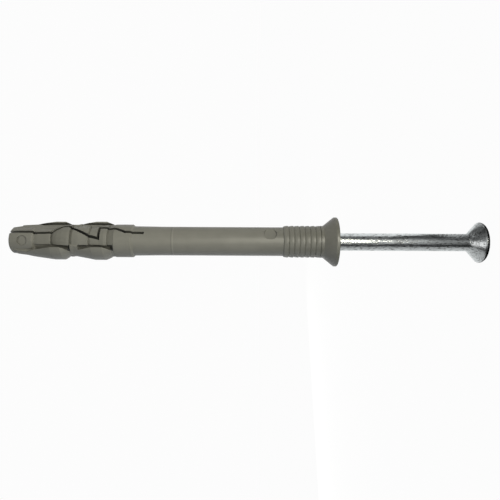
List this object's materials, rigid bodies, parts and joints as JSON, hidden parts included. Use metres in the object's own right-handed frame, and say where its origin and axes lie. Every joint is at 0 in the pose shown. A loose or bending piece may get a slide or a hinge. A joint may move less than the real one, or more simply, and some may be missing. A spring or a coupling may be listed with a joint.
{
  "type": "hammer fixing plug",
  "caption": "Hammer fixing: a split plastic expansion plug with wings, guide collar and countersunk head, and its drive nail set part way in.",
  "frame": {"origin": "middle of the nail head's flat top, on which the fixing stands", "axes": "+Z from the nail's head up to the plug's tip, -Y to the front, the side of the two ejector marks, +X to the right"},
  "size_m": [0.0122, 0.0122, 0.116],
  "materials": {
    "plug_plastic": "moulded satin",
    "nail_zinc": "bright zinc plate"
  },
  "bodies": {
    "plug": {"plug_sleeve": "plug_plastic"},
    "nail": {"drive_nail": "nail_zinc"}
  },
  "joints": [
    {"name": "nail_drive", "type": "slide", "parent": "plug", "child": "nail", "axis": [0, 0, 1], "range_m": [0, 0.036], "deforming": ["plug_sleeve"]}
  ]
}
